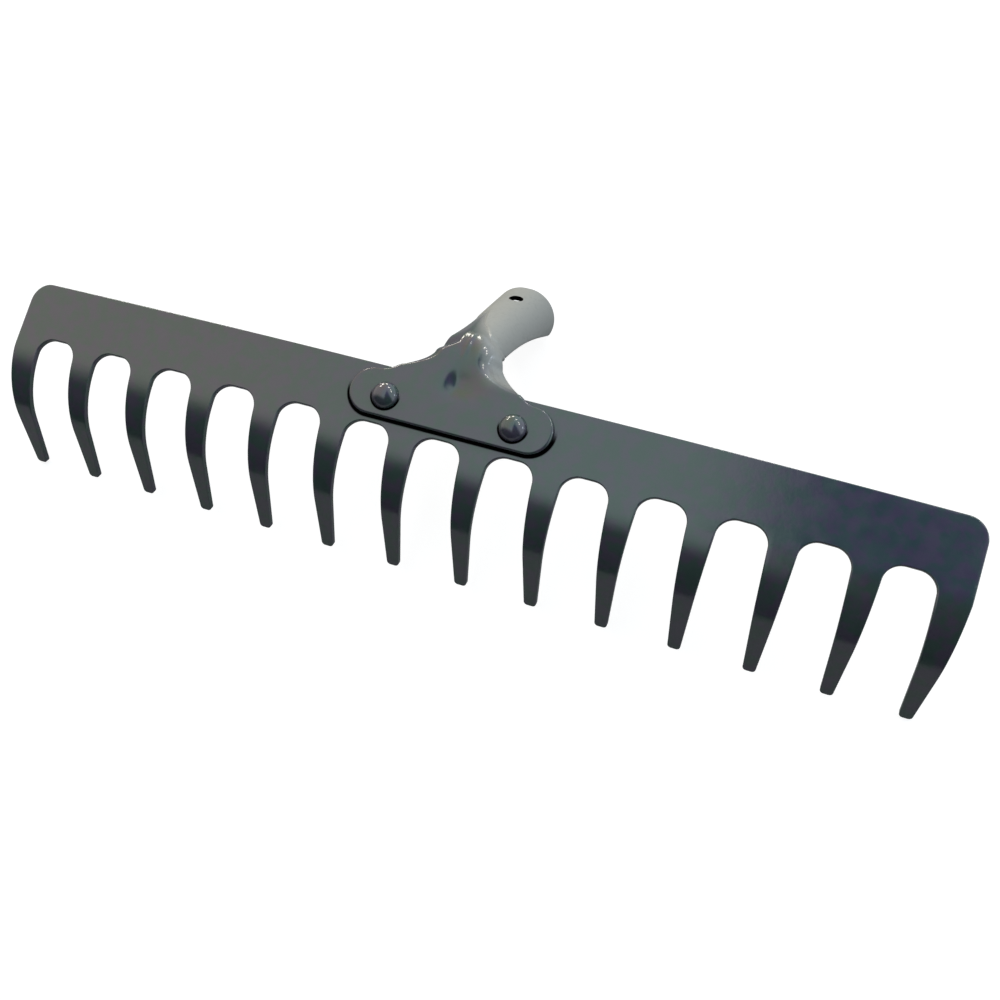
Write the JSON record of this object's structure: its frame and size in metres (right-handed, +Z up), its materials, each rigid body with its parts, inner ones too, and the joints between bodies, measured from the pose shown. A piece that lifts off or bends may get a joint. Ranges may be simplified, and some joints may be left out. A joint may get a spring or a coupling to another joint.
{
  "type": "garden rake head",
  "caption": "Garden rake head: a long pressed steel blade with curled, tapering teeth, riveted to a folded sheet socket that takes a round handle.",
  "frame": {"origin": "centre of the footprint, on the level surface on which the head lies with its front face up", "axes": "+X along the blade, +Y from the teeth towards the socket's mouth, +Z up, out of the blade's front face, which leans 10 degrees; the socket's mouth points along +Y and 43 degrees below level"},
  "size_m": [0.3766, 0.124, 0.0531],
  "materials": {
    "blade_paint": "grey enamel, semi-gloss",
    "socket_paint": "grey enamel, semi-gloss",
    "rivet_paint": "grey enamel, glossy"
  },
  "bodies": {
    "root": {"toothed_blade": "blade_paint", "handle_socket": "socket_paint", "rivet_left": "rivet_paint", "rivet_right": "rivet_paint"}
  },
  "joints": []
}
